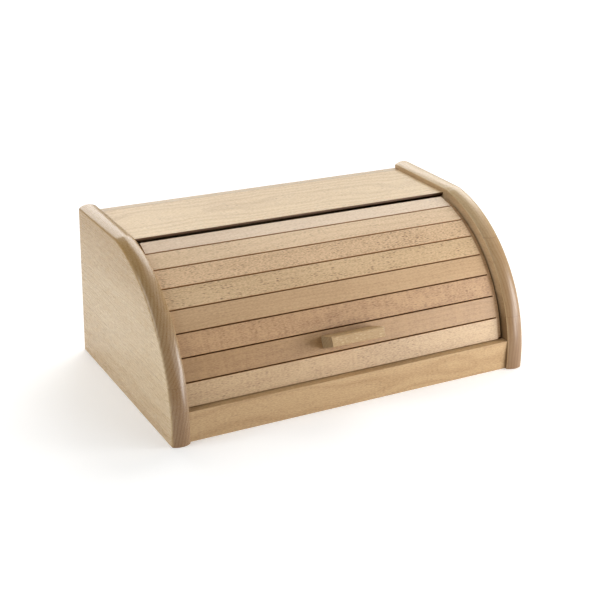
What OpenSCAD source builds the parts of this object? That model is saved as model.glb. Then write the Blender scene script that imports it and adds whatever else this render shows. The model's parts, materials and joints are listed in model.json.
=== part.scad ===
// Beech bread box with a rigid slatted roll top.
// Frame: origin under the middle of the case, +X to the right, -Y to the front, +Z up. Millimetres.

/* [Case] */
// Overall width over the two side panels
case_w = 420; // [340:1:480]
// Overall depth, front crown to back panel
case_d = 250; // [244:1:260]
// Overall height over the side panels
case_h = 170; // [162:1:182]

/* [Side panels] */
// Thickness of a side panel
panel_t = 19.5; // [16:0.5:24]
// Rise of the rounded edge over its arrises
crown_rise = 5.2; // [4.5:0.1:6]
// Radius of the rounded edge at its arrises
crown_ease = 3.6; // [2.5:0.1:4]
// Height of the centre of the front curve
curve_z = 4.4; // [2:0.1:12]
// How far the crest of the front curve would pass above the flat top
curve_over = 2; // [1:0.1:4]

/* [Top board] */
// Depth of the top board, front to back
top_board_d = 93.3; // [86:0.1:100]
// Thickness of the top board
top_board_t = 9; // [8:0.1:12]
// How far its face lies below the top of the side panels
top_board_drop = 7.6; // [6.5:0.1:10]

/* [Back, floor and rail] */
// Thickness of the back panel
back_t = 9; // [8:0.1:12]
// Thickness of the bottom board
floor_t = 8; // [6:0.1:10]
// Height of the underside of the bottom board
floor_z = 6; // [4:0.1:10]
// Depth of the grooves that hold the bottom board
groove_d = 4; // [3:0.1:6]
// Height of the front rail
rail_h = 32.9; // [28:0.1:38]
// Thickness of the front rail
rail_t = 18; // [16:0.1:22]
// How far the face of the rail stands behind the front crown
rail_setback = 6.7; // [6:0.1:10]

/* [Dowels] */
// Diameter of the wooden dowels
dowel_d = 6; // [4:0.1:7]
// Length of the wooden dowels
dowel_l = 26; // [20:1:34]

/* [Lid] */
// Thickness of a slat
slat_t = 7.5; // [6:0.1:9]
// Depth of the slat faces below the crown of the side panels
lid_drop = 10.6; // [9.5:0.1:14]
// Distance of the lid's curve behind the centre of the case's curve
lid_back = 1.6; // [0:0.1:2]
// Distance of the lid's curve above the centre of the case's curve
lid_up = 1; // [0:0.1:2]
// Width planed off the top edge of the uppermost slat
top_slat_trim = 2.8; // [0:0.1:5]
// Length sawn off the left end of the uppermost slat, at its top edge
top_slat_cut = 4.2; // [2:0.1:6]
// How much less is sawn off at that slat's lower edge
top_slat_slant = 2; // [0:0.1:2]
// Level gap between the lid's top edge and the top board
throat = 6.3; // [5:0.1:9]
// Gap between neighbouring slats at their inner corners
slat_gap = 0.15; // [0.1:0.05:0.5]
// Thickness of an end cheek
cheek_t = 12; // [10:0.1:14]
// Width of the right cheek's rim beyond the slat ends
rim_t = 4.9; // [4:0.1:7]
// Depth of the rim below the slat faces
rim_drop = 1.7; // [1:0.1:3]

/* [Handle] */
// Length of the handle
handle_l = 62.5; // [50:0.1:90]
// How far the handle stands out from its slat
handle_out = 23; // [16:0.1:25]
// Height of the handle at its slat
handle_h = 13.1; // [10:0.1:16]
// Height of the handle at its front face
handle_tip = 10.3; // [8:0.1:14]
// Place of the middle of the handle, to the right of the centre line
handle_x = -3.5; // [-20:0.1:20]
// Distance between the two handle screws
screw_gap = 36; // [24:1:40]
// Shank diameter of a handle screw
screw_d = 3.5; // [3:0.1:4]
// Length of a handle screw
screw_l = 22; // [18:0.1:26]

/* [Pivot] */
// Distance of the pivot in front of the top board's edge
pivot_front = 25.7; // [23:0.1:30]
// Height of the pivot above the centre of the lid's curve
pivot_up = 41.6; // [38:0.1:46]
// Shank diameter of a pivot screw
pivot_d = 6; // [5:0.1:8]
// Depth of a pivot screw in its side panel
pivot_depth = 12; // [8:0.1:14]
// Head diameter of a pivot screw
pivot_head_d = 11; // [10:0.1:14]
// Head thickness of a pivot screw
pivot_head_t = 2.8; // [2:0.1:4]

/* [Clearances] */
// Gap between the swinging lid and the hollowed underside of the top board
sweep_gap = 1.2; // [0.8:0.1:2]
// Gap between a cheek and its side panel
side_gap = 1.8; // [1:0.1:3]
// Radial clearance of the pivot shank in its cheek
pivot_clear = 0.08; // [0.05:0.01:0.1]
// Clearance under a pivot screw's head
head_gap = 0.4; // [0.3:0.1:1]
// Gap between the closed lid and the front rail
rest_gap = 0.8; // [0.3:0.1:1.5]
// Gap between a slat end and the right cheek's rim
slat_end_gap = 0.3; // [0.1:0.1:0.5]
// Glue clearance round dowels, screws and panel edges
glue_gap = 0.05; // [0.02:0.01:0.1]

/* [Hidden] */
$fn = 120;
spare = 1;                                   // overlap of a cutting tool past the face that it cuts
blend = 0.03;                                // arcs of the rounded edge cross by this much
slats = 8;                                   // one node each, counted from the top
handle_slat = 7;                             // the slat that carries the handle

// Case
inner_x = case_w / 2 - panel_t;              // inner face of a side panel
front_y = -case_d / 2;
back_y = case_d / 2;
curve_r = case_h - curve_z + curve_over;     // front curve at the top of the crown
curve_y = front_y + curve_r;
crown_side = panel_t / 2 - crown_ease;       // from a panel's middle plane to the centre of an arris
crown_r = (pow(crown_side, 2) + pow(crown_rise, 2) - pow(crown_ease, 2)) / (2 * (crown_rise - crown_ease));
crown_flat = crown_side * crown_r / (crown_r - crown_ease);
board_top = case_h - top_board_drop;
board_back = back_y - back_t;
board_front = board_back - top_board_d;
rail_front = front_y + rail_setback;
rail_back = rail_front + rail_t;

// Lid, as an arc about (lid_y, lid_z); angles rise from the front
lid_y = curve_y + lid_back;
lid_z = curve_z + lid_up;
face_r = curve_r - lid_drop;                 // middle of a slat's outer face
seat_r = face_r - slat_t;                    // middle of a slat's inner face
rim_r = face_r - rim_drop;
lid_foot = rail_h + rest_gap;
foot_angle = asin((lid_foot - lid_z) / face_r);
top_angle = acos((lid_y - board_front + throat) / face_r);
trim_angle = 2 * asin(top_slat_trim / 2 / seat_r);
pitch = (top_angle - foot_angle + trim_angle) / slats;
slat_w = 2 * seat_r * tan(pitch / 2) - slat_gap;
foot_w = 3;                                  // stock below the last slat, sawn level at the rail
top_slat_angle = foot_angle + (slats - 0.5) * pitch;
top_edge = slat_w / 2 - top_slat_trim;       // from the middle of the top slat to its planed edge
lid_x = inner_x - side_gap;                  // outer faces of the cheeks
cheek_x = lid_x - cheek_t;
rim_x = lid_x - rim_t;
slat_right = rim_x - slat_end_gap;           // the slats' left ends are flush with the left cheek
pivot_y = board_front - pivot_front;
pivot_z = lid_z + pivot_up;
boss_r = pivot_z - lid_foot;
cheek_top_y = pivot_y + boss_r;
lid_reach = norm([                           // from the pivot to the top slat's outer arris
    lid_y - face_r * cos(top_slat_angle) + top_edge * sin(top_slat_angle) - pivot_y,
    lid_z + face_r * sin(top_slat_angle) + top_edge * cos(top_slat_angle) - pivot_z]);

// Dowel places, each as [y, z] on the inner face of a side panel
board_dowels = [[board_front + 0.55 * top_board_d, board_top - top_board_t / 2],
                [board_back - 2.5 * dowel_d, board_top - top_board_t / 2]];
back_dowels = [[back_y - back_t / 2, board_top - 5 * dowel_d],
               [back_y - back_t / 2, floor_z + floor_t + 4 * dowel_d]];
rail_dowels_at = [[rail_front + rail_t / 2, rail_h - 1.4 * dowel_d],
                  [rail_front + 0.35 * rail_t, 1.2 * dowel_d]];

// Extrudes a side view, drawn as (y, z), from x0 to x1
module across(x0, x1) {
    translate([x0, 0, 0]) rotate([90, 0, 90]) linear_extrude(x1 - x0) children();
}

// A round bar along X at side-view place p
module bar_x(p, x0, x1, r) {
    translate([x0, p[0], p[1]]) rotate([0, 90, 0]) cylinder(h = x1 - x0, r = r);
}

// The rounded edge of a panel, a flat arc between two tight ones. x is the distance from the axis
// or the floor, y runs through the panel
module crowned_strip(reach) {
    arris = reach - crown_rise;
    translate([0, -panel_t / 2]) square([arris, panel_t]);
    for (side = [-1, 1]) translate([arris, side * crown_side]) circle(r = crown_ease);
    intersection() {
        translate([reach - blend - crown_r, 0]) circle(r = crown_r);
        translate([arris - spare, -crown_flat]) square([crown_rise + 2 * spare, 2 * crown_flat]);
    }
}

// One side panel's blank, about its own middle plane
module panel_blank() {
    intersection() {
        union() {
            translate([0, curve_y, curve_z]) rotate([0, 90, 0]) rotate_extrude() crowned_strip(curve_r);
            translate([-panel_t / 2, curve_y, 0]) cube([panel_t, back_y - curve_y, case_h]);
        }
        translate([0, back_y, 0]) rotate([90, 0, 0]) linear_extrude(case_d)
            rotate([0, 0, 90]) crowned_strip(case_h);
    }
}

// The groove for the bottom board, with its glue clearance
module floor_groove(x0, x1) {
    translate([x0, rail_back - groove_d - glue_gap, floor_z - glue_gap])
        cube([x1 - x0, board_back - rail_back + 2 * (groove_d + glue_gap), floor_t + 2 * glue_gap]);
}

module dowel_bores(places) {
    for (p = places)
        bar_x(p, inner_x - dowel_l / 2 - spare, inner_x + dowel_l / 2 + spare / 2, dowel_d / 2 + glue_gap);
}

module right_panel() {
    difference() {
        translate([case_w / 2 - panel_t / 2, 0, 0]) panel_blank();
        floor_groove(inner_x - spare, inner_x + groove_d + glue_gap);
        dowel_bores(board_dowels);
        dowel_bores(back_dowels);
        dowel_bores(rail_dowels_at);
        bar_x([pivot_y, pivot_z], inner_x - spare, inner_x + pivot_depth + spare / 2, pivot_d / 2 + glue_gap / 2);
    }
}

module both_sides() {
    children();
    mirror([1, 0, 0]) children();
}

module side_panel_left() {
    color("burlywood") mirror([1, 0, 0]) right_panel();
}

module side_panel_right() {
    color("burlywood") right_panel();
}

// The top board is hollowed below its front edge to a thin lip, so that the lid swings in under it
module top_board() {
    color("wheat") difference() {
        translate([-inner_x, board_front, board_top - top_board_t])
            cube([2 * inner_x, top_board_d, top_board_t]);
        bar_x([pivot_y, pivot_z], -case_w / 2, case_w / 2, lid_reach + sweep_gap);
        both_sides() dowel_bores(board_dowels);
    }
}

module back_panel() {
    color("wheat") difference() {
        translate([-inner_x, board_back, 0]) cube([2 * inner_x, back_t, board_top]);
        floor_groove(-inner_x - spare, inner_x + spare);
        both_sides() dowel_bores(back_dowels);
    }
}

module bottom_board() {
    color("wheat")
        translate([-inner_x - groove_d, rail_back - groove_d, floor_z])
            cube([2 * (inner_x + groove_d), board_back - rail_back + 2 * groove_d, floor_t]);
}

module front_rail() {
    color("tan") difference() {
        translate([-inner_x, rail_front, 0]) cube([2 * inner_x, rail_t, rail_h]);
        floor_groove(-inner_x - spare, inner_x + spare);
        both_sides() dowel_bores(rail_dowels_at);
    }
}

module dowels(places) {
    color("peru") both_sides() for (p = places)
        bar_x(p, inner_x - dowel_l / 2, inner_x + dowel_l / 2, dowel_d / 2);
}

module top_board_dowels() { dowels(board_dowels); }
module back_panel_dowels() { dowels(back_dowels); }
module rail_dowels() { dowels(rail_dowels_at); }

// A round-headed screw, driven from inside through the cheek into the side panel
module right_pivot_screw() {
    head_x = cheek_x - head_gap - pivot_head_t;
    slot_w = 1.2;
    slot_deep = 1.2;
    color("silver") difference() {
        union() {
            bar_x([pivot_y, pivot_z], head_x + pivot_head_t, inner_x + pivot_depth, pivot_d / 2);
            intersection() {
                bar_x([pivot_y, pivot_z], head_x, head_x + pivot_head_t, pivot_head_d / 2);
                translate([head_x + pivot_head_d, pivot_y, pivot_z]) sphere(r = pivot_head_d);
            }
        }
        translate([head_x - spare, pivot_y - slot_w / 2, pivot_z - pivot_head_d])
            cube([slot_deep + spare, slot_w, 2 * pivot_head_d]);
    }
}

module pivot_screw_left() { mirror([1, 0, 0]) right_pivot_screw(); }
module pivot_screw_right() { right_pivot_screw(); }

// The cheek's side view: a disc trimmed level at the foot and upright at the back, round at the pivot
module cheek_outline(r) {
    reach = 2 * face_r;
    intersection() {
        translate([lid_y, lid_z]) circle(r = r, $fn = 240);
        union() {
            translate([pivot_y - reach, lid_foot]) square([reach, reach]);
            translate([cheek_top_y - reach, pivot_z]) square([reach, reach]);
            translate([pivot_y, pivot_z]) circle(r = boss_r);
        }
    }
}

// An end cheek without its bore: a ledge that the slats are glued on, with a rim out from rim_from
module cheek_blank(rim_from) {
    across(cheek_x, rim_from) cheek_outline(seat_r - glue_gap);
    if (rim_from < lid_x) across(rim_from, lid_x) cheek_outline(rim_r);
}

module cheek(rim_from) {
    color("tan") difference() {
        cheek_blank(rim_from);
        bar_x([pivot_y, pivot_z], cheek_x - spare, inner_x, pivot_d / 2 + pivot_clear);
    }
}

// The left cheek lies wholly under the slats, the rim of the right one closes their ends
module lid_cheek_left() { mirror([1, 0, 0]) cheek(lid_x); }
module lid_cheek_right() { cheek(rim_x); }

// Places a side view drawn as (outwards, upwards along the slat) on slat i, counted from the top
module on_slat(i) {
    angle = foot_angle + (slats - i + 0.5) * pitch;
    translate([0, lid_y, lid_z]) rotate([-angle, 0, 0]) children();
}

module slat_bar(i) {
    low = -slat_w / 2 - (i == slats ? foot_w : 0);
    high = slat_w / 2 - (i == 1 ? top_slat_trim : 0);
    intersection() {
        on_slat(i) across(-lid_x, slat_right)
            translate([-face_r, low]) square([slat_t, high - low]);
        translate([-case_w / 2, front_y, lid_foot]) cube([case_w, case_d, case_h]);
    }
}

// The slanting saw cut on the left end of the uppermost slat
module top_slat_saw() {
    on_slat(1) translate([-lid_x, -seat_r + spare, 0]) rotate([90, 0, 0])
        linear_extrude(slat_t + 2 * spare) polygon([
            [-spare, -slat_w / 2 - spare],
            [top_slat_cut - top_slat_slant, -slat_w / 2 - spare],
            [top_slat_cut - top_slat_slant, -slat_w / 2],
            [top_slat_cut, top_edge],
            [top_slat_cut, top_edge + spare],
            [-spare, top_edge + spare]]);
}

// Holes for the handle screws, countersunk in the slat's inner face
module handle_screw(clear) {
    head_r = 3.6;
    head_t = 2.2;
    for (x = [-0.5, 0.5] * screw_gap)
        translate([handle_x + x, -seat_r, 0]) rotate([90, 0, 0]) {
            translate([0, 0, -clear]) cylinder(h = screw_l + 2 * clear, r = screw_d / 2 + clear);
            translate([0, 0, -clear]) cylinder(h = head_t + clear, r1 = head_r + clear, r2 = screw_d / 2 + clear);
        }
}

module slat(i) {
    shade = i % 2 == 0 ? "tan" : "burlywood";
    color(shade) difference() {
        slat_bar(i);
        if (i == 1) top_slat_saw();
        if (i == handle_slat) on_slat(i) handle_screw(glue_gap);
    }
}

module slat_1() { slat(1); }
module slat_2() { slat(2); }
module slat_3() { slat(3); }
module slat_4() { slat(4); }
module slat_5() { slat(5); }
module slat_6() { slat(6); }
module slat_7() { slat(7); }
module slat_8() { slat(8); }

// A bar that tapers towards its front face
module handle() {
    color("khaki") difference() {
        on_slat(handle_slat) across(handle_x - handle_l / 2, handle_x + handle_l / 2) polygon([
            [-face_r, -handle_h / 2],
            [-face_r, handle_h / 2],
            [-face_r - handle_out, handle_tip / 2],
            [-face_r - handle_out, -handle_tip / 2]]);
        on_slat(handle_slat) handle_screw(glue_gap);
    }
}

module handle_screws() {
    color("silver") on_slat(handle_slat) handle_screw(0);
}

side_panel_left();
side_panel_right();
top_board();
back_panel();
bottom_board();
front_rail();
top_board_dowels();
back_panel_dowels();
rail_dowels();
pivot_screw_left();
pivot_screw_right();
lid_cheek_left();
lid_cheek_right();
slat_1();
slat_2();
slat_3();
slat_4();
slat_5();
slat_6();
slat_7();
slat_8();
handle();
handle_screws();
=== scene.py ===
"""Beech bread box with a rigid slatted roll top: quarter-round side panels with a
crowned edge, a fixed top board, a front rail and eight flat slats on two end cheeks."""

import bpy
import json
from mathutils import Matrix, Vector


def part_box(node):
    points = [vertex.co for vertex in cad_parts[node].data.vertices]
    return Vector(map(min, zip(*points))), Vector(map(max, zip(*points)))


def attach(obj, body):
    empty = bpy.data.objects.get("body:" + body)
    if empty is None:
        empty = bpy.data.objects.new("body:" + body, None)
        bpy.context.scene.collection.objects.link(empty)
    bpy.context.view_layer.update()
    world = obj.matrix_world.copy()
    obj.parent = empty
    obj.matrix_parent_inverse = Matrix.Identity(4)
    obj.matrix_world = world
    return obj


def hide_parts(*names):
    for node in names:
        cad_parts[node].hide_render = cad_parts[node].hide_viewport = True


bl_info = {
    "name": "Roll-top bread box",
    "version": (1, 0, 0),
    "blender": (4, 5, 0),
    "location": "View3D > Sidebar > Bread box",
    "description": "Builds the wooden pieces of a roll-top bread box around its fixed frame",
    "category": "Object",
}

import json
from math import acos, asin, cos, pi, radians, sin, tan

import bpy
import numpy as np
from bpy.props import FloatProperty, FloatVectorProperty, IntProperty, PointerProperty
from mathutils import Euler, Vector

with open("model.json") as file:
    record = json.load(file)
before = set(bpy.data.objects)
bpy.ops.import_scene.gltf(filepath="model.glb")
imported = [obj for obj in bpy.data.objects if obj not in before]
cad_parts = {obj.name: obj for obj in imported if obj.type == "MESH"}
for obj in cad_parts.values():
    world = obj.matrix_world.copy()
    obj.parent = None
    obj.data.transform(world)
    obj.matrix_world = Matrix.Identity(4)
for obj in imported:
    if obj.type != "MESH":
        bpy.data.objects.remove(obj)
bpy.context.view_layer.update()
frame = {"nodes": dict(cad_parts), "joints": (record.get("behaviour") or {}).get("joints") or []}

# What the fixed frame says about the sizes that the pieces share
PANEL_LOW, PANEL_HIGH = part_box("side_panel_right")
BOARD_LOW, BOARD_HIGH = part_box("top_board")
BACK_LOW, BACK_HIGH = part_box("back_panel")
RAIL_LOW, RAIL_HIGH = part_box("front_rail")
FLOOR_LOW, FLOOR_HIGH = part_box("bottom_board")
CHEEK_LOW, CHEEK_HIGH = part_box("lid_cheek_right")
SLAT_LOW, SLAT_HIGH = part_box("slat_8")
HANDLE_LOW, HANDLE_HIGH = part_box("handle")
PIVOT = frame["joints"][0]["pos_m"]
SLATS = 8

# The growth rings' spacing, that of the wave texture at a scale of 1, and a glue line's width
RING = 0.0032
WAVE_AT_ONE = 0.314
JOINT_WIDTH = 0.0008
# Heights of the side panels' glue lines, and of the middle of the sides and the back
LOW_JOINT, HIGH_JOINT, MIDDLE = 0.0595, 0.134, 0.08


def linear(code):
    """A linear colour from an sRGB hex code such as #c8a070."""
    c = np.array([int(code[i:i + 2], 16) for i in (1, 3, 5)]) / 255
    return (*np.where(c <= 0.04045, c / 12.92, ((c + 0.055) / 1.055) ** 2.4).tolist(), 1.0)


def length(name, value, text):
    """A size in metres that a user may change."""
    return FloatProperty(name=name, description=text, default=value, min=0,
                         subtype="DISTANCE", unit="LENGTH", precision=5)


def colour(name, code, text):
    """A colour that a user may change, with its default as an sRGB hex code."""
    return FloatVectorProperty(name=name, description=text, default=linear(code), size=4,
                               min=0, max=1, subtype="COLOR")


# Pale early wood, deep late wood and soaked end grain of each piece of beech, except where a row
# says that its tones are painted light and shade. The slats come from different boards, so no two are
# alike.
TONES = ("pale", "deep", "end")
WOOD = {
    "panel_left": ("#d2bc98", "#ab8a59", "#8b6c4b"),
    "panel_right": ("#cfb68d", "#bc9b6f", "#866747"),
    # The inner walls' pale and deep tones are painted light and shade: pale high up, deep low down by
    # the lid
    "panel_wall_painted_shade": ("#dab98e", "#745a3c", "#8a6a4a"),
    # The top board's dark end tone is mostly painted shade on its front lip
    "top_board": ("#d7bb8d", "#b49163", "#5f4329"),
    "back_panel": ("#c3a985", "#b39670", "#8a6a4a"),
    "front_rail": ("#bc9d73", "#9f7c53", "#8a6a4a"),
    "bottom_board": ("#c2a885", "#b2946c", "#8a6a4a"),
    # The slats' end tone also paints the shade in the joints between them, on their long edges
    "slat_1": ("#d3b997", "#b79878", "#9e6d38"),
    "slat_2": ("#dabc95", "#b7966e", "#9e6d38"),
    "slat_3": ("#d8b790", "#ad8a63", "#9e6d38"),
    "slat_4": ("#d1b38c", "#ae8e67", "#9e6d38"),
    "slat_5": ("#c2a17b", "#a5835d", "#9e6d38"),
    "slat_6": ("#b8936a", "#966e4a", "#9e6d38"),
    "slat_7": ("#aa8559", "#8d6841", "#9e6d38"),
    "slat_8": ("#c2a47d", "#a2815e", "#9e6d38"),
    "cheeks": ("#cba77e", "#b18b61", "#85633f"),
    "handle": ("#ad8d5f", "#9a774a", "#796145"),
    "dowels": ("#ba9b77", "#a88862", "#8a6a4a"),
}


# ---------------------------------------------------------------- sizes and colours

class CaseSizes(bpy.types.PropertyGroup):
    crown_rise: length("Crown rise", 0.0052, "Rise of a side panel's rounded edge over its arrises")
    crown_ease: length("Crown ease", 0.0036, "Radius of that rounded edge at the outer face")
    inner_ease: length("Inner ease", 0.001, "Radius of that rounded edge at the inner face")
    curve_z: length("Curve height", 0.0044, "Height of the centre of the side panels' front curve")
    curve_over: length("Curve over", 0.002, "How far the curve's crest would pass above the flat top")
    break_round: length("Break round", 0.04, "Radius that softens the break between curve and flat top")
    arris: length("Arris", 0.0007, "Radius of the sanded arrises of panels and boards")
    sweep_gap: length("Sweep gap", 0.0012, "Gap between the swinging lid and the top board's hollow")
    groove: length("Groove", 0.004, "Depth of the grooves that hold the bottom board")
    glue_line: length("Glue gap", 0.00005, "Clearance of a glued joint")


class LidSizes(bpy.types.PropertyGroup):
    drop: length("Drop", 0.0106, "Depth of the slat faces below the crown of the side panels")
    back: length("Back", 0.0016, "Distance of the lid's curve behind the case's curve")
    up: length("Up", 0.001, "Distance of the lid's curve above the case's curve")
    slat_thickness: length("Slat thickness", 0.0075, "Thickness of a slat")
    slat_gap: length("Slat gap", 0.00015, "Gap between neighbouring slats at their inner corners")
    trim: length("Top slat trim", 0.0028, "Width planed off the top edge of the uppermost slat")
    cut: length("Top slat cut", 0.0042, "Length sawn off the uppermost slat's left end, at its top edge")
    slant: length("Top slat slant", 0.002, "How much less is sawn off at that slat's lower edge")
    throat: length("Throat", 0.0063, "Level gap between the lid's top edge and the top board")
    rim_drop: length("Rim drop", 0.0017, "Depth of the right cheek's rim below the slat faces")
    rim_width: length("Rim width", 0.0049, "Width of the right cheek's rim beyond the slat ends")
    arris: length("Arris", 0.00045, "Radius of the slats' sanded arrises")


class HandleSizes(bpy.types.PropertyGroup):
    out: length("Projection", 0.023, "How far the handle stands out from its slat")
    root: length("Root height", 0.0131, "Height of the handle at its slat")
    tip: length("Tip height", 0.0103, "Height of the handle at its front face")
    arris: length("Arris", 0.0009, "Radius of the handle's sanded arrises")
    slat: IntProperty(name="Slat", description="The slat that carries the handle, from the top",
                      default=7, min=1, max=SLATS)


class StageSizes(bpy.types.PropertyGroup):
    camera_place: FloatVectorProperty(
        name="Camera place", description="Where the camera stands", size=3,
        default=(-0.62675, -1.1098, 0.61325), subtype="TRANSLATION", unit="LENGTH")
    camera_turn: FloatVectorProperty(
        name="Camera turn", description="Pitch, roll and heading of the camera", size=3,
        default=(radians(66.921), radians(-1.581), radians(-28.557)),
        subtype="EULER", unit="ROTATION")
    lens: FloatProperty(name="Lens", description="Focal length on a 36 mm sensor",
                        default=76.0, min=20, unit="CAMERA")
    floor_radius: length("Floor radius", 9.0, "Radius of the pale floor")


class WoodColours(bpy.types.PropertyGroup):
    """The tones of every piece of beech, three for each row of WOOD"""
    __annotations__ = {
        f"{key}_{tone}": colour(f"{key.replace('_', ' ').capitalize()}, {tone}", code,
                                f"The {tone} tone of the beech of this piece")
        for key, codes in WOOD.items() for tone, code in zip(TONES, codes)}


class PlainColours(bpy.types.PropertyGroup):
    ray_fleck: colour("Ray fleck", "#6b472b", "Brown of the flecks, glue lines and end-grain rings")
    handle_fleck: colour("Handle fleck", "#d6c096", "Pale flecks of the handle's wood")
    steel_bright: colour("Steel, bright", "#b9bcbd", "Bright tone of the zinc-plated screws")
    steel_dull: colour("Steel, dull", "#9ea3a6", "Dull tone of the zinc-plated screws")
    floor_paint: colour("Floor paint", "#f5f5f4", "Matt paint of the floor")


# ---------------------------------------------------------------- meshes

def outline(arcs):
    """Joins arcs into one closed side view, counter-clockwise seen from +X.

    Each arc is (centre y, centre z, radius, first angle, last angle, tilt, points), with
    angles in radians from +Y towards +Z. A point is centre + radius * (cos a, sin a), and
    (cos a, sin a) is the outward normal there, so a hollow arc has a negative radius. The
    straight edges are what lies between two arcs. All but the number of points may be
    arrays over the stations along X; tilt turns the normal from the side view towards X.
    Returns points, normals (stations, n, 2) and tilts (stations, n)."""
    stations = max(np.size(v) for arc in arcs for v in arc[:6])
    points, normals, tilts = [], [], []
    for *values, count in arcs:
        cy, cz, r, first, last, tilt = (np.broadcast_to(np.asarray(v, float), stations)[:, None]
                                        for v in values)
        a = first + (last - first) * np.linspace(0, 1, count)
        n = np.stack([np.cos(a), np.sin(a)], -1)
        points.append(np.stack([cy, cz], -1) + r[..., None] * n)
        normals.append(n)
        tilts.append(tilt + 0 * a)
    return (np.concatenate(points, 1), np.concatenate(normals, 1), np.concatenate(tilts, 1))


def corners(points, radius, inset, tilt, steps=5):
    """Arcs that round a polygon's corners, for outline().

    The polygon is counter-clockwise in (y, z). With n1 and n2 the outward normals of the two
    edges at a corner p, the arc's centre is p - radius * (n1 + n2) / (1 + n1.n2), and it turns
    from n1 to n2. At a hollow corner the radius changes sign. inset shrinks every arc, which
    moves the whole side view inwards by that much."""
    p = np.asarray(points, float)
    edge = np.roll(p, -1, 0) - p
    edge /= np.linalg.norm(edge, axis=1)[:, None]
    n2 = np.stack([edge[:, 1], -edge[:, 0]], 1)
    n1 = np.roll(n2, 1, 0)
    first = np.arctan2(n1[:, 1], n1[:, 0])
    turn = (np.arctan2(n2[:, 1], n2[:, 0]) - first + pi) % (2 * pi) - pi
    side = np.where(turn < 0, -1.0, 1.0)
    centre = p - (side * radius / (1 + (n1 * n2).sum(1)))[:, None] * (n1 + n2)
    return [(c[0], c[1], s * radius - inset, a, a + t, tilt, steps)
            for c, s, a, t in zip(centre, side, first, turn)]


def eased_ends(x0, x1, ease, steps=6):
    """Stations of a bar from x0 to x1 whose ends are rounded by a quarter circle of radius ease.

    Returns x, the inset of the side view and the tilt of the normal, from -90 to 90 degrees."""
    q = np.linspace(pi / 2, 0, steps)
    x = np.concatenate([x0 + ease * (1 - np.sin(q)), x1 - ease * (1 - np.sin(q[::-1]))])
    inset = ease * (1 - np.cos(np.concatenate([q, q[::-1]])))
    return x, inset, np.concatenate([-q, q[::-1]])


def turned(arcs, centre, angle):
    """The same arcs turned by angle about +X and then moved by centre = (y, z)."""
    c, s = cos(angle), sin(angle)
    return [(centre[0] + cy * c - cz * s, centre[1] + cy * s + cz * c, r,
             first + angle, last + angle, tilt, points)
            for cy, cz, r, first, last, tilt, points in arcs]


def skin(name, x, arcs, grain=((1, 0, 0),), mirror=False):
    """A closed skin over the side views of arcs at the stations x.

    A vertex is (x, y, z) with (y, z) from outline(); its normal is (sin tilt, cos tilt * n).
    x may also differ from point to point of a station, as on a slanted end. Quads join
    neighbouring stations, and a flat many-sided face closes each end. The attribute end_grain_and_edge_shade
    is the greatest |normal . g| over the unit vectors g in grain, from 0 to 1."""
    points, normals, tilts = outline(arcs)
    k, n = tilts.shape
    x = np.asarray(x).reshape(k, -1)
    co = np.concatenate([np.broadcast_to(x[..., None], (k, n, 1)), points], -1)
    no = np.concatenate([np.sin(tilts)[..., None], np.cos(tilts)[..., None] * normals], -1)
    ring = np.arange(n)
    first = np.arange(k - 1)[:, None] * n + ring
    second = np.arange(k - 1)[:, None] * n + np.roll(ring, -1)
    quads = np.stack([first, second, second + n, first + n], -1).reshape(-1, 4)
    caps = [ring[::-1], ring + (k - 1) * n]
    if mirror:
        co, no = co * (-1, 1, 1), no * (-1, 1, 1)
        quads, caps = quads[:, ::-1], [cap[::-1] for cap in caps]
    mesh = bpy.data.meshes.new(name)
    mesh.from_pydata(co.reshape(-1, 3), [], quads.tolist() + [cap.tolist() for cap in caps])
    no = no.reshape(-1, 3)
    # This share picks the browner end tone: real end grain, and painted shade on edges such as the
    # slats' long edges and the top board's lip
    share = mesh.attributes.new("end_grain_and_edge_shade", "FLOAT", "POINT")
    share.data.foreach_set("value", np.abs(no @ np.transpose(grain)).max(1).astype(np.float32))
    mesh.polygons.foreach_set("use_smooth", np.ones(len(mesh.polygons), bool))
    mesh.normals_split_custom_set_from_vertices(no)
    return mesh


def piece(name, mesh, body, node_name, material):
    """Puts a mesh in the scene as the piece that stands for a node of the frame."""
    thing = bpy.data.objects.new(name, mesh)
    bpy.context.scene.collection.objects.link(thing)
    mesh.materials.append(material)
    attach(thing, body)
    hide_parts(node_name)
    return thing


# ---------------------------------------------------------------- finishes

def add(tree, kind, inputs=(), **settings):
    """Adds a shader node. settings are its properties. inputs fills its sockets, in their order
    or by name, and a node among them stands for the first of its outputs that is in use."""
    made = tree.nodes.new("ShaderNode" + kind)
    for key, value in settings.items():
        setattr(made, key, value)
    for key, value in (inputs if isinstance(inputs, dict) else dict(enumerate(inputs))).items():
        if isinstance(value, bpy.types.Node):
            value = next(output for output in value.outputs if output.enabled)
        if isinstance(value, bpy.types.NodeSocket):
            tree.links.new(value, made.inputs[key])
        else:
            made.inputs[key].default_value = value
    return made


def blank(name):
    """A new material and its empty node tree."""
    material = bpy.data.materials.new(name)
    material.use_nodes = True
    material.node_tree.nodes.clear()
    return material, material.node_tree


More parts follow.
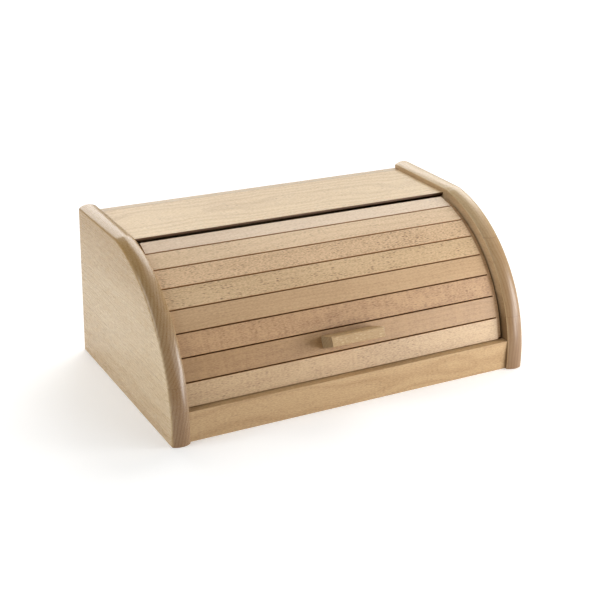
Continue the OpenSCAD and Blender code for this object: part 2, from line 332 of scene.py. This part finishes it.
def beech(key, fleck="ray_fleck", flecks=0.5, figure=0.5, ripple=0.0, seed=0.0, turn=(0, 0, 0),
          centre=(0, 0, 0), pith=(0.02, -0.06), joints=(), jump=(0.43, 0.013, -0.018),
          pale_band=None, contrast=1.0, rough=(0.40, 0.52)):
    """Planed beech under a satin lacquer, in the tones of a row of WOOD.

    The grain runs along the turned X axis. Growth rings are cylinders round a pith line at
    (across, below) from the board's centre, swayed by a slow noise, which gives the faint
    arches of a flat-sawn face. The rays show as short dashes along the grain, the larger ones
    as brown flecks, the fibres as fine streaks, and curly wood as ripples across the grain.
    End grain drinks the lacquer, so it is browner and its rings stand out. The same browner tone is
    painted shade on the other faces that skin() marks, such as the slats' long edges and the top
    board's lip. joints are the heights of glue lines, and each board between them has its own
    figure, moved by jump. pale_band is (height, reach): the wood is palest at that height and deepens
    with the square of the distance from it; on the panels' inner walls this is painted light and
    shade. contrast is how strongly the grain stands out, and rough the roughness of the lacquer, from
    the smoothest to the dullest fibre."""
    wood = bpy.context.scene.bread_wood
    pale, deep, end_colour = (tuple(getattr(wood, f"{key}_{tone}")) for tone in TONES)
    brown = tuple(getattr(bpy.context.scene.bread_plain, fleck))
    material, tree = blank(f"beech_{key}")
    around = Euler(turn, "XYZ").to_matrix() @ Vector(centre)
    place = Vector((seed, -pith[0], -pith[1])) - around
    where = add(tree, "TexCoord").outputs["Object"]
    level = add(tree, "SeparateXYZ", [where]).outputs["Z"]
    board = add(tree, "Mapping", {"Vector": where, "Location": place, "Rotation": turn})
    row = line = 0.0
    for joint in joints:
        above = add(tree, "Math", (level, joint), operation="GREATER_THAN")
        row = add(tree, "Math", (row, above), operation="ADD")
        glue = add(tree, "Math", (level, joint, JOINT_WIDTH / 2), operation="COMPARE")
        line = add(tree, "Math", (glue, 0.3, line), operation="MULTIPLY_ADD")
    if joints:
        moved = add(tree, "VectorMath", {0: jump, "Scale": row}, operation="SCALE")
        board = add(tree, "VectorMath", (board, moved), operation="ADD")

    # Noises that make the wood paler or deeper: how often each comes along and across the
    # grain, its scale and detail, the band of its values that counts, and its share
    layers = {
        # Streaks 4 to 8 mm wide and fibres 0.7 mm wide, both long along the grain
        "streak": ((0.05, 1, 1), 150.0, 4.0, 0.3, 0.7, 0.35),
        "fibre": ((0.05, 1, 1), 1400.0, 2.0, 0.3, 0.7, 0.30),
        # Ripples about 7 mm apart, which run across the grain
        "curl": ((1, 0.25, 0.25), 150.0, 2.0, 0.35, 0.65, ripple),
        # Dashes about 3 mm long and 0.9 mm wide
        "dash": ((0.3, 1, 1), 1100.0, 1.0, 0.35, 0.65, 0.4 + flecks),
        # A slow sway, over about 200 mm along the grain and 80 mm across it
        "sway": ((5, 12, 12), 1.0, 2.0, 0.3, 0.7, 0.40),
    }
    noise = {}
    for name, (often, scale, detail, *_) in layers.items():
        at = add(tree, "VectorMath", (board, often), operation="MULTIPLY")
        noise[name] = add(tree, "TexNoise", {"Vector": at, "Scale": scale, "Detail": detail,
                                             "Roughness": 0.6})

    # Growth rings round the pith, swayed by up to 8 mm
    swayed = add(tree, "VectorMath", (noise["sway"].outputs["Color"], (0, 0.016, 0.016), board),
                 operation="MULTIPLY_ADD")
    rings = add(tree, "TexWave", {"Vector": swayed, "Scale": WAVE_AT_ONE / RING, "Distortion": 1.2,
                                  "Detail": 2.0, "Detail Scale": 0.6, "Detail Roughness": 0.6},
                wave_type="RINGS", rings_direction="X").outputs["Fac"]
    late = add(tree, "Math", (rings, 2.2), operation="POWER")

    # Here and there a fleck of 4 mm by 1 mm, more of them where the slow noise crowds them
    cell = add(tree, "VectorMath", (board, (180, 800, 800)), operation="MULTIPLY")
    ray = add(tree, "TexVoronoi", {"Vector": cell, "Scale": 1.0, "Randomness": 1.0})
    core = add(tree, "MapRange", (ray, 0.16, 0.44, 1.0, 0.0), interpolation_type="SMOOTHSTEP")
    drift = add(tree, "TexNoise", {"Vector": board, "Scale": 28.0, "Detail": 1.0, "Roughness": 0.6})
    crowd = add(tree, "MapRange", (drift, 0.38, 0.58, 0.3, 1.0))
    chance = add(tree, "SeparateColor", [ray.outputs["Color"]])
    dark = add(tree, "MapRange", (chance, 0.2, 0.8, 0.0, flecks))
    spot = add(tree, "Math", (core, crowd), operation="MULTIPLY")
    spot = add(tree, "Math", (spot, dark), operation="MULTIPLY")

    # How deep the tone is: from 0 in early wood to 1 in late wood, and more in end grain and on the
    # edges with painted shade
    end = add(tree, "Attribute", attribute_name="end_grain_and_edge_shade").outputs["Fac"]
    end_tone_share = add(tree, "MapRange", (end, 0.12, 1.0))
    weight = add(tree, "Math", (end_tone_share, 0.6, figure / 2), operation="MULTIPLY_ADD")
    depth = add(tree, "Math", (late, weight), operation="MULTIPLY")
    for name, (*_, low, high, share) in layers.items():
        half = contrast * share / 2
        more = add(tree, "MapRange", (noise[name], low, high, -half, half))
        depth = add(tree, "Math", (depth, more), operation="ADD")
    # Palest at one height and deeper away from it: on the panels' inner walls this is painted light and
    # shade
    if pale_band:
        height, reach = pale_band
        away = add(tree, "Math", (level, 1 / reach, -height / reach), operation="MULTIPLY_ADD")
        depth = add(tree, "Math", (away, away, depth), operation="MULTIPLY_ADD")
    elif joints:
        # The lowest board is the deepest
        low_board = add(tree, "MapRange", (row, 0.0, 1.0, 0.25, 0.0))
        depth = add(tree, "Math", (depth, low_board), operation="ADD")

    # Colour: pale to deep wood, then the flecks, the end grain with its rings (also painted shade on the
    # edges that skin() marks) and the glue lines
    depth = add(tree, "MapRange", (depth, -0.35, 1.0))
    tone = add(tree, "Mix", {"Factor": depth, "A": pale, "B": deep}, data_type="RGBA")
    tone = add(tree, "Mix", {"Factor": spot, "A": tone, "B": brown}, data_type="RGBA")
    ringed = add(tree, "Math", (late, noise["streak"]), operation="ADD")
    ringed = add(tree, "MapRange", (ringed, 0.4, 1.6, 0.0, 0.4))
    end_coloured = add(tree, "Mix", {"Factor": ringed, "A": end_colour, "B": brown}, data_type="RGBA")
    tone = add(tree, "Mix", {"Factor": end_tone_share, "A": tone, "B": end_coloured}, data_type="RGBA")
    tone = add(tree, "Mix", {"Factor": line, "A": tone, "B": brown}, data_type="RGBA")

    # The lacquer lies in the pores and over the fibres, so its gloss is uneven
    sheen = add(tree, "MapRange", (noise["fibre"], 0.3, 0.7, *rough))
    pore = add(tree, "Math", (spot, -0.6, noise["fibre"]), operation="MULTIPLY_ADD")
    bump = add(tree, "Bump", {"Height": pore, "Strength": 0.25, "Distance": 0.0002})
    shader = add(tree, "BsdfPrincipled", {"Base Color": tone, "Roughness": sheen, "Normal": bump,
                                          "IOR": 1.5})
    add(tree, "OutputMaterial", {"Surface": shader})
    return material


def zinc_steel():
    """Zinc-plated screw steel: bluish grey, softly shiny, with a faintly mottled plating."""
    plain = bpy.context.scene.bread_plain
    material, tree = blank("zinc_plated_steel")
    where = add(tree, "TexCoord").outputs["Object"]
    # Crystals of the plating, about a millimetre across
    mottle = add(tree, "TexNoise", {"Vector": where, "Scale": 900.0, "Detail": 2.0})
    tone = add(tree, "Mix", {"Factor": mottle, "A": tuple(plain.steel_bright),
                             "B": tuple(plain.steel_dull)}, data_type="RGBA")
    rough = add(tree, "MapRange", {"Value": mottle, "To Min": 0.28, "To Max": 0.42})
    shader = add(tree, "BsdfPrincipled", {"Base Color": tone, "Metallic": 1.0, "Roughness": rough})
    add(tree, "OutputMaterial", {"Surface": shader})
    return material


def matt_paint():
    """White emulsion on the floor: quite dull, and lit a little from itself so that it stays pale."""
    material, tree = blank("matt_white_paint")
    paint = tuple(bpy.context.scene.bread_plain.floor_paint)
    shader = add(tree, "BsdfPrincipled", {"Base Color": paint, "Roughness": 0.9,
                                          "Emission Color": linear("#ffffff"),
                                          "Emission Strength": 0.26})
    add(tree, "OutputMaterial", {"Surface": shader})
    return material


# Each slat's flecks, figure, ripple and the pith's place across and below it
SLAT_WOOD = (
    (0.40, 0.4, 0.0, (0.030, -0.050)),
    (0.50, 0.5, 0.0, (-0.020, -0.090)),
    (1.00, 0.5, 0.0, (0.010, -0.040)),
    (0.85, 0.4, 0.0, (0.045, -0.030)),
    (0.30, 0.5, 0.1, (-0.050, -0.020)),
    (0.70, 0.6, 0.5, (0.015, -0.050)),
    (0.35, 0.5, 0.4, (-0.030, -0.060)),
    (0.60, 0.5, 0.1, (0.020, -0.080)),
)


# ---------------------------------------------------------------- pieces

def case_curve():
    """Centre (y, z) and radius of the side panels' front curve at the top of the crown."""
    size = bpy.context.scene.bread_case
    radius = PANEL_HIGH.z - size.curve_z + size.curve_over
    return PANEL_LOW.y + radius, size.curve_z, radius


def lid_curve():
    """Centre (y, z) of the lid's curve and the radius at the middle of a slat's face."""
    size = bpy.context.scene.bread_lid
    y, z, radius = case_curve()
    return y + size.back, z + size.up, radius - size.drop


def slat_pitch():
    """Angle of the lid's foot, and the angle that one slat takes, seen from the curve's centre."""
    size = bpy.context.scene.bread_lid
    y, z, radius = lid_curve()
    foot = asin((SLAT_LOW.z - z) / radius)
    top = acos((y - BOARD_LOW.y + size.throat) / radius)
    trim = 2 * asin(size.trim / 2 / (radius - size.slat_thickness))
    return foot, (top - foot + trim) / SLATS


class BREADBOX_OT_side_panels(bpy.types.Operator):
    """Makes the two side panels: boards with a quarter-round front, a flat top and a crowned edge"""
    bl_idname = "breadbox.side_panels"
    bl_label = "Side panels"

    def execute(self, context):
        size = context.scene.bread_case
        half = (PANEL_HIGH.x - PANEL_LOW.x) / 2
        cy, cz, radius = case_curve()
        top, back, soft = PANEL_HIGH.z, PANEL_HIGH.y, size.arris

        # Across the thickness, as the angle q of the normal from the crown's middle: a flat arc
        # of radius crown, which meets an arc of radius ease at each arris without a break. q is
        # negative towards the inner face. crown follows from the outer arris, where
        # (half - ease)^2 + (rise - crown)^2 = (crown - ease)^2
        side = half - size.crown_ease
        crown = ((side ** 2 + size.crown_rise ** 2 - size.crown_ease ** 2)
                 / (2 * (size.crown_rise - size.crown_ease)))
        inner, outer = (asin((half - r) / (crown - r)) for r in (size.inner_ease, size.crown_ease))
        q = np.concatenate([np.linspace(-pi / 2, -inner, 7)[:-1], np.linspace(-inner, outer, 21),
                            np.linspace(outer, pi / 2, 11)[1:]])
        ease_r = np.where(q < 0, size.inner_ease, size.crown_ease)
        flat = (q >= -inner) & (q <= outer)
        across = np.where(flat, crown * np.sin(q), np.sign(q) * (half - ease_r) + ease_r * np.sin(q))
        ease_centre = np.sqrt((crown - ease_r) ** 2 - (half - ease_r) ** 2)
        drop = crown - np.where(flat, crown * np.cos(q), ease_centre + ease_r * np.cos(q))
        # The plain back and lower edges only have their arrises sanded
        past = np.clip(np.abs(across) - (half - soft), 0, soft)
        ease = soft - np.sqrt(soft ** 2 - past ** 2)
        lean = np.sign(across) * np.arcsin(past / soft)

        r = radius - drop
        lift = top - drop
        small = 1.5 * soft
        break_y = cy - np.sqrt((r - size.break_round) ** 2 - (lift - size.break_round - cz) ** 2)
        break_a = np.arctan2(lift - size.break_round - cz, break_y - cy)
        foot_y = cy - np.sqrt((r - small) ** 2 - (small - cz) ** 2)
        foot_a = np.arctan2(small - cz, foot_y - cy) % (2 * pi)
        arcs = [
            (back - small, small, small - ease, -pi / 2, 0, lean, 5),
            (back - small, lift - small, small, 0, pi / 2, (lean + q) / 2, 5),
            (break_y, lift - size.break_round, size.break_round, pi / 2, break_a, q, 6),
            (cy, cz, r, break_a, foot_a, q, 56),
            (foot_y, small, small - ease, foot_a, 3 * pi / 2, (lean + q) / 2, 5),
        ]
        # The grain runs from back to front
        turn = (0, 0, -pi / 2)
        looks = {
            "left": beech("panel_left", flecks=0.25, figure=0.45, seed=0.31, turn=turn,
                          centre=(-PANEL_LOW.x, 0, MIDDLE), pith=(0.50, 0.03), joints=(LOW_JOINT,),
                          jump=(0.43, 0.1, -0.2), pale_band=(0.068, 0.095), rough=(0.22, 0.34)),
            "right": beech("panel_right", flecks=0.35, figure=0.5, seed=1.7, turn=turn,
                           centre=(PANEL_LOW.x, 0, MIDDLE), pith=(0.50, -0.02),
                           joints=(LOW_JOINT, HIGH_JOINT), rough=(0.28, 0.40)),
        }
        # The inner walls take painted light and shade: pale near the top, where light falls, and deep
        # lower down in the narrow gap by the lid
        wall_painted_shade = beech("panel_wall_painted_shade", flecks=0.2, figure=0.2, seed=2.9, turn=turn,
                       pith=(0.50, 0.0), pale_band=(0.145, 0.09), contrast=0.3)
        middle = PANEL_LOW.x + half
        for hand, look in looks.items():
            mesh = skin(f"side_panel_{hand}_skin", middle + across, arcs, grain=((0, 1, 0),),
                        mirror=hand == "left")
            # The first end face of a skin is the panel's inner face
            mesh.polygons[-2].material_index = 1
            piece(f"crowned_panel_{hand}", mesh, "case", f"side_panel_{hand}", look)
            mesh.materials.append(wall_painted_shade)
        return {"FINISHED"}


class BREADBOX_OT_boards(bpy.types.Operator):
    """Makes the top board, the back panel and the front rail, and finishes the bottom board"""
    bl_idname = "breadbox.boards"
    bl_label = "Boards"

    def execute(self, context):
        size = context.scene.bread_case
        lid = context.scene.bread_lid
        ease = 0.6 * size.arris
        x, inset, tilt = eased_ends(BOARD_LOW.x, BOARD_HIGH.x, ease / 4)
        groove_low, groove_high = FLOOR_LOW.z - size.glue_line, FLOOR_HIGH.z + size.glue_line
        depth = size.groove + size.glue_line

        # The hollow under the top board is a circle round the pivot, clear of the lid's far arris
        y, z, radius = lid_curve()
        foot, pitch = slat_pitch()
        a = foot + (SLATS - 0.5) * pitch
        edge = (radius - lid.slat_thickness) * tan(pitch / 2) - lid.slat_gap / 2 - lid.trim
        arris = Vector((y - radius * cos(a) + edge * sin(a) - PIVOT[1],
                        z + radius * sin(a) + edge * cos(a) - PIVOT[2]))
        reach = arris.length + size.sweep_gap
        start = acos((BOARD_LOW.y - PIVOT[1]) / reach)
        end = asin((BOARD_LOW.z - PIVOT[2]) / reach)
        along = np.linspace(start, end, 12)
        hollow = np.stack([PIVOT[1] + reach * np.cos(along), PIVOT[2] + reach * np.sin(along)], 1)
        board = np.concatenate([[(BOARD_LOW.y, BOARD_HIGH.z)], hollow,
                                [(BOARD_HIGH.y, BOARD_LOW.z), (BOARD_HIGH.y, BOARD_HIGH.z)]])
        # The board's edges that face front and back, and in part its hollow, take the dark end tone:
        # painted shade under the front lip
        mesh = skin("top_board_skin", x, corners(board, ease, inset, tilt), ((1, 0, 0), (0, 1, 0)))
        piece("hollowed_top_board", mesh, "case", "top_board",
              beech("top_board", flecks=0.4, figure=0.8, seed=0.9,
                    centre=(0, 0.07, BOARD_HIGH.z), pith=(0.01, -0.07)))

        back = [(BACK_LOW.y, groove_low), (BACK_LOW.y, BACK_LOW.z), (BACK_HIGH.y, BACK_LOW.z),
                (BACK_HIGH.y, BACK_HIGH.z), (BACK_LOW.y, BACK_HIGH.z), (BACK_LOW.y, groove_high),
                (BACK_LOW.y + depth, groove_high), (BACK_LOW.y + depth, groove_low)]
        piece("grooved_back_panel", skin("back_panel_skin", x, corners(back, ease, inset, tilt)), "case",
              "back_panel",
              beech("back_panel", flecks=0.35, seed=2.3, turn=(pi / 2, 0, 0),
                    centre=(0, BACK_HIGH.y, MIDDLE), pith=(0.02, -0.05)))

        rail = [(RAIL_HIGH.y, groove_high), (RAIL_HIGH.y, RAIL_HIGH.z), (RAIL_LOW.y, RAIL_HIGH.z),
                (RAIL_LOW.y, RAIL_LOW.z), (RAIL_HIGH.y, RAIL_LOW.z), (RAIL_HIGH.y, groove_low),
                (RAIL_HIGH.y - depth, groove_low), (RAIL_HIGH.y - depth, groove_high)]
        piece("grooved_front_rail", skin("front_rail_skin", x, corners(rail, ease, inset, tilt)), "case",
              "front_rail",
              beech("front_rail", flecks=0.4, figure=0.9, seed=3.1,
                    turn=(pi / 2, 0, 0), centre=(0, RAIL_LOW.y, 0.017), pith=(0.008, -0.03)))

        floor = frame["nodes"]["bottom_board"]
        floor.data.materials.clear()
        floor.data.materials.append(
            beech("bottom_board", flecks=0.4, seed=4.4,
                  centre=(0, 0, FLOOR_HIGH.z), pith=(0.03, -0.06)))
        return {"FINISHED"}


class BREADBOX_OT_slats(bpy.types.Operator):
    """Makes the eight flat slats of the lid, each with its own wood"""
    bl_idname = "breadbox.slats"
    bl_label = "Slats"

    def execute(self, context):
        size = context.scene.bread_lid
        y, z, radius = lid_curve()
        foot, pitch = slat_pitch()
        seat = radius - size.slat_thickness
        half = seat * tan(pitch / 2) - size.slat_gap / 2
        x, inset, tilt = eased_ends(SLAT_LOW.x, SLAT_HIGH.x, 0.8 * size.arris)
        for number, (flecks, figure, ripple, pith) in enumerate(SLAT_WOOD, 1):
            a = foot + (SLATS - number + 0.5) * pitch
            high = half - (size.trim if number == 1 else 0)
            low = np.array([-half, -half])
            if number == SLATS:
                # The lowest slat is sawn level: heights along the slat where z meets the foot's level
                low = (SLAT_LOW.z - z - np.array([radius, seat]) * sin(a)) / cos(a)
            side = [(-seat, high), (-radius, high), (-radius, low[0]), (-seat, low[1])]
            flat = corners(side, size.arris, inset, tilt)
            at = x[:, None]
            if number == 1:
                # The slanting saw cut on the left end, in a straight line down the slat
                down = (high - outline(flat)[0][..., 1]) / (high + half)
                at = at + (at < 0) * (size.cut - size.slant * down)
            look = beech(f"slat_{number}", flecks=flecks, figure=figure, ripple=ripple,
                         seed=0.77 * number, turn=(a - pi / 2, 0, 0),
                         centre=(0, y - radius * cos(a), z + radius * sin(a)), pith=pith)
            # The slats' long edges take the brown end tone as well: painted shade that darkens the
            # joints between them
            mesh = skin(f"slat_{number}_skin", at, turned(flat, (y, z), -a),
                        ((1, 0, 0), (0, sin(a), cos(a))))
            piece(f"eased_slat_{number}", mesh, "lid", f"slat_{number}", look)
        return {"FINISHED"}


class BREADBOX_OT_cheeks(bpy.types.Operator):
    """Makes the lid's end cheeks: a ledge under the slats, on the right with a rim at their ends"""
    bl_idname = "breadbox.cheeks"
    bl_label = "Cheeks"

    def execute(self, context):
        size = context.scene.bread_lid
        y, z, radius = lid_curve()
        rim = radius - size.rim_drop
        step = rim - (radius - size.slat_thickness) + context.scene.bread_case.glue_line
        soft = size.arris
        inner, outer = CHEEK_LOW.x, CHEEK_HIGH.x
        wall = outer - size.rim_width

        # Stations across the cheek, as x, drop below the rim and tilt of the normal. Each corner
        # is a quarter circle: over the ledge's inner arris, up the foot of the wall (a hollow
        # one), over the wall's arris and over the outer arris
        q = np.linspace(0, pi / 2, 5)
        s, c = soft * np.sin(q), soft * np.cos(q)
        start = np.array([inner + soft - c, step + soft - s, q - pi / 2])
        end = np.array([outer - soft + s, soft - c, q])
        rise = [np.array([wall - soft + s, step - soft + c, -q]),
                np.array([wall + soft - c, soft - s, q - pi / 2])]
        below = np.array([[0], [step], [0]])
        hands = {"left": [start, end + below], "right": [start, *rise, end]}
        look = beech("cheeks", flecks=0.3, seed=5.2, centre=(CHEEK_LOW.x, -0.05, 0.09),
                     pith=(0.05, -0.05))
        for hand, stations in hands.items():
            x, drop, tilt = np.concatenate(stations, 1)
            # The straight edges turn only at the two outer faces
            lean = tilt.copy()
            lean[len(q):-len(q)] = 0
            ease = soft * (1 - np.cos(lean))
            r = rim - drop
            small = 1.5 * soft
            boss = PIVOT[2] - SLAT_LOW.z
            level = SLAT_LOW.z + small
            foot_y = y - np.sqrt((r - small) ** 2 - (level - z) ** 2)
            foot_a = np.arctan2(level - z, foot_y - y)
            end_y = PIVOT[1] + boss - small
            end_z = z + np.sqrt((r - small) ** 2 - (end_y - y) ** 2)
            end_a = np.arctan2(end_z - z, end_y - y)
            arcs = [
                (PIVOT[1], PIVOT[2], boss - ease, -pi / 2, 0, lean, 14),
                (end_y, end_z, small - ease, 0, end_a, (lean + tilt) / 2, 5),
                (y, z, r, end_a, foot_a, tilt, 50),
                (foot_y, level, small - ease, foot_a, 3 * pi / 2, (lean + tilt) / 2, 5),
            ]
            mesh = skin(f"lid_cheek_{hand}_skin", x, arcs, mirror=hand == "left")
            piece(f"curved_cheek_{hand}", mesh, "lid", f"lid_cheek_{hand}", look)
        return {"FINISHED"}


class BREADBOX_OT_handle(bpy.types.Operator):
    """Makes the handle: a bar that tapers towards its front face"""
    bl_idname = "breadbox.handle"
    bl_label = "Handle"

    def execute(self, context):
        size = context.scene.bread_handle
        y, z, radius = lid_curve()
        foot, pitch = slat_pitch()
        a = foot + (SLATS - size.slat + 0.5) * pitch
        tip = radius + size.out
        side = [(-radius, size.root / 2), (-tip, size.tip / 2),
                (-tip, -size.tip / 2), (-radius, -size.root / 2)]
        x, inset, tilt = eased_ends(HANDLE_LOW.x, HANDLE_HIGH.x, 0.8 * size.arris)
        arcs = turned(corners(side, size.arris, inset, tilt), (y, z), -a)
        look = beech("handle", fleck="handle_fleck", flecks=0.7, figure=0.2, seed=6.6,
                     turn=(a, 0, 0), centre=(0, y - tip * cos(a), z + tip * sin(a)), pith=(0.05, 0.0))
        piece("tapered_handle", skin("handle_skin", x, arcs), "lid", "handle", look)
        return {"FINISHED"}


class BREADBOX_OT_fixings(bpy.types.Operator):
    """Gives the screws and dowels of the frame their finishes"""
    bl_idname = "breadbox.fixings"
    bl_label = "Screws and dowels"

    def execute(self, context):
        steel = zinc_steel()
        peg = beech("dowels", flecks=0.3, seed=7.7)
        finish = {"pivot_screw_left": steel, "pivot_screw_right": steel, "handle_screws": steel,
                  "top_board_dowels": peg, "back_panel_dowels": peg, "rail_dowels": peg}
        for name, material in finish.items():
            mesh = frame["nodes"][name].data
            mesh.materials.clear()
            mesh.materials.append(material)
        return {"FINISHED"}


class BREADBOX_OT_stage(bpy.types.Operator):
    """Sets a pale floor, soft studio light and the camera"""
    bl_idname = "breadbox.stage"
    bl_label = "Stage"

    def execute(self, context):
        size = context.scene.bread_stage
        scene = context.scene
        a = np.linspace(0, 2 * pi, 65)[:-1]
        rim = np.stack([size.floor_radius * np.cos(a), size.floor_radius * np.sin(a), 0 * a], 1)
        mesh = bpy.data.meshes.new("floor")
        mesh.from_pydata(rim, [], [list(range(len(a)))])
        floor = bpy.data.objects.new("floor", mesh)
        scene.collection.objects.link(floor)
        mesh.materials.append(matt_paint())

        world = bpy.data.worlds.new("studio")
        world.use_nodes = True
        sky = world.node_tree.nodes["Background"]
        sky.inputs["Color"].default_value = linear("#ffffff")
        sky.inputs["Strength"].default_value = 0.05
        scene.world = world

        lamps = (
            # name, kind, place, aim, strength, and a sun's angle or a softbox's width
            ("back", "SUN", (0.16, 1.87, 0.72), (0, 0, 0), 1.20, radians(40)),
            ("back_right", "SUN", (1.16, 1.16, 1.15), (0, 0, 0), 1.61, radians(40)),
            ("right", "SUN", (1.00, 0, 1.73), (0, 0, 0), 0.32, radians(40)),
            ("left", "SUN", (-1.64, 0, 1.15), (0, 0, 0), 1.60, radians(40)),
            ("front_right", "SUN", (0.99, -1.52, 0.85), (0, 0, 0), 0.38, radians(25)),
            ("softbox", "AREA", (0.9, -0.6, 0.3), (0.05, 0, 0.08), 6.4, 0.4),
            ("low_softbox", "AREA", (0.5, -0.7, 0.12), (0.05, 0, 0.08), 1.75, 0.2),
        )
        for name, kind, place, aim, strength, width in lamps:
            light = bpy.data.lights.new(name, kind)
            light.energy = strength
            setattr(light, "angle" if kind == "SUN" else "size", width)
            lamp = bpy.data.objects.new(name, light)
            lamp.location = place
            lamp.rotation_euler = (Vector(aim) - Vector(place)).to_track_quat("-Z", "Y").to_euler()
            scene.collection.objects.link(lamp)

        camera = bpy.data.objects.new("camera", bpy.data.cameras.new("camera"))
        camera.location = size.camera_place
        camera.rotation_euler = size.camera_turn
        camera.data.lens = size.lens
        camera.data.sensor_width = 36
        camera.data.clip_end = 50
        scene.collection.objects.link(camera)
        scene.camera = camera
        scene.view_settings.view_transform = "Standard"
        return {"FINISHED"}


class BREADBOX_PT_panel(bpy.types.Panel):
    """Lists the pieces of the bread box in the sidebar"""
    bl_idname = "BREADBOX_PT_panel"
    bl_label = "Bread box"
    bl_space_type = "VIEW_3D"
    bl_region_type = "UI"
    bl_category = "Bread box"

    def draw(self, context):
        for group, kind in GROUPS.items():
            box = self.layout.box()
            for key in kind.__annotations__:
                box.prop(getattr(context.scene, group), key)
        for operator in OPERATORS:
            self.layout.operator(operator.bl_idname)


GROUPS = {"bread_case": CaseSizes, "bread_lid": LidSizes, "bread_handle": HandleSizes,
          "bread_stage": StageSizes, "bread_wood": WoodColours, "bread_plain": PlainColours}
OPERATORS = (BREADBOX_OT_stage, BREADBOX_OT_side_panels, BREADBOX_OT_boards, BREADBOX_OT_slats,
             BREADBOX_OT_cheeks, BREADBOX_OT_handle, BREADBOX_OT_fixings)


def register():
    for cls in (*GROUPS.values(), *OPERATORS, BREADBOX_PT_panel):
        bpy.utils.register_class(cls)
    for key, cls in GROUPS.items():
        setattr(bpy.types.Scene, key, PointerProperty(type=cls))


def unregister():
    for key in GROUPS:
        delattr(bpy.types.Scene, key)
    for cls in (BREADBOX_PT_panel, *reversed(OPERATORS), *reversed(GROUPS.values())):
        bpy.utils.unregister_class(cls)


def main():
    register()
    for operator in OPERATORS:
        group, name = operator.bl_idname.split(".")
        getattr(getattr(bpy.ops, group), name)()


if __name__ == "__main__":
    main()
